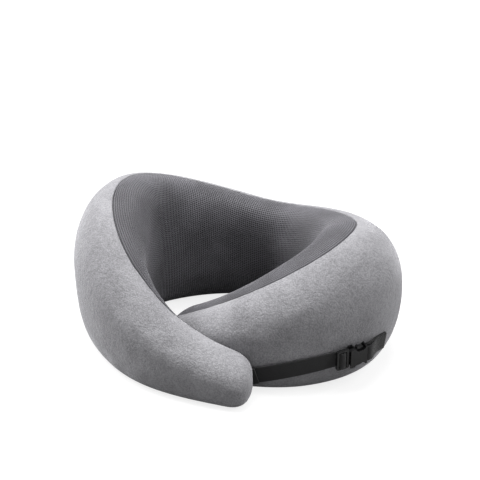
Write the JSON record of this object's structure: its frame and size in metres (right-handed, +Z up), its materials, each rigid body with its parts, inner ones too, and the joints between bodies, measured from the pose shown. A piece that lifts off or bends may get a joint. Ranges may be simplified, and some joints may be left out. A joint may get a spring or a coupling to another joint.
{
  "type": "u shaped neck pillow",
  "caption": "U-shaped foam travel neck pillow with a plush outside, spacer mesh on the neck side, a zipped cover, crossed front tips and a strap closed by a side-release buckle.",
  "frame": {"origin": "middle of the pillow's base box, on the plane it rests on", "axes": "+X to the side of the arm that carries the buckle socket, +Y to the back of the neck, +Z up to the crest"},
  "size_m": [0.2942, 0.2386, 0.1329],
  "materials": {
    "plush": "short velour pile, soft sheen",
    "spacer_mesh": "charcoal three-dimensional air mesh",
    "liner": "thin knit liner",
    "foam": "open-cell memory foam, matt",
    "webbing": "flat woven webbing",
    "thread": "polyester sewing thread",
    "buckle_plastic": "moulded acetal, satin",
    "zip_tape": "woven zip tape",
    "zip_coil": "nylon coil",
    "zip_metal": "enamelled zinc"
  },
  "bodies": {
    "back": {"foam_core_back": "foam", "inner_liner_back": "liner", "plush_cover_back": "plush", "mesh_panel_back": "spacer_mesh", "zip_tape_upper": "zip_tape", "zip_tape_lower": "zip_tape", "zip_coil": "zip_coil", "zip_top_stop": "zip_metal", "zip_bottom_stop": "zip_metal"},
    "left_arm": {"foam_core_left": "foam", "inner_liner_left": "liner", "plush_cover_left": "plush", "mesh_panel_left": "spacer_mesh", "strap_webbing": "webbing", "strap_sewn_hem": "webbing"},
    "right_arm": {"foam_core_right": "foam", "inner_liner_right": "liner", "plush_cover_right": "plush", "mesh_panel_right": "spacer_mesh", "buckle_socket": "buckle_plastic", "anchor_webbing": "webbing", "anchor_stitching": "thread"},
    "plug": {"buckle_plug": "buckle_plastic", "strap_fold": "webbing"},
    "upper_prong": {"prong_upper": "buckle_plastic"},
    "lower_prong": {"prong_lower": "buckle_plastic"},
    "slider": {"zip_slider": "zip_metal"},
    "pull": {"zip_pull_tab": "zip_metal"}
  },
  "joints": [
    {"name": "left_arm_spread", "type": "hinge", "parent": "back", "child": "left_arm", "pos_m": [-0.11693, 0.07853, 0.04], "axis": [0, 0, -1], "range_deg": [0, 30]},
    {"name": "right_arm_spread", "type": "hinge", "parent": "back", "child": "right_arm", "pos_m": [0.12067, 0.07523, 0.04], "axis": [0, 0, 1], "range_deg": [0, 22.5]},
    {"name": "strap_adjust", "type": "slide", "parent": "left_arm", "child": "plug", "axis": [-0.6767, -0.7308, -0.0889], "range_m": [0, 0.022]},
    {"name": "upper_prong_squeeze", "type": "hinge", "parent": "plug", "child": "upper_prong", "pos_m": [0.12589, -0.04721, 0.03761], "axis": [-0.7331, 0.6577, 0.1732], "range_deg": [0, 6]},
    {"name": "lower_prong_squeeze", "type": "hinge", "parent": "plug", "child": "lower_prong", "pos_m": [0.12502, -0.04487, 0.02505], "axis": [0.7331, -0.6577, -0.1732], "range_deg": [0, 6]},
    {"name": "zip_travel", "type": "hinge", "parent": "back", "child": "slider", "pos_m": [0.00177, -0.08097, 0.022], "axis": [0, 0, -1], "range_deg": [0, 35]},
    {"name": "zip_pull_flip", "type": "hinge", "parent": "slider", "child": "pull", "pos_m": [-0.05846, 0.11005, 0.02101], "axis": [-0.0674, 0.2138, 0.9746], "range_deg": [0, 170]}
  ],
  "couplings": [
    {"joint": "right_arm_spread", "follows": "left_arm_spread", "ratio": 0.75},
    {"joint": "lower_prong_squeeze", "follows": "upper_prong_squeeze", "ratio": 1}
  ]
}
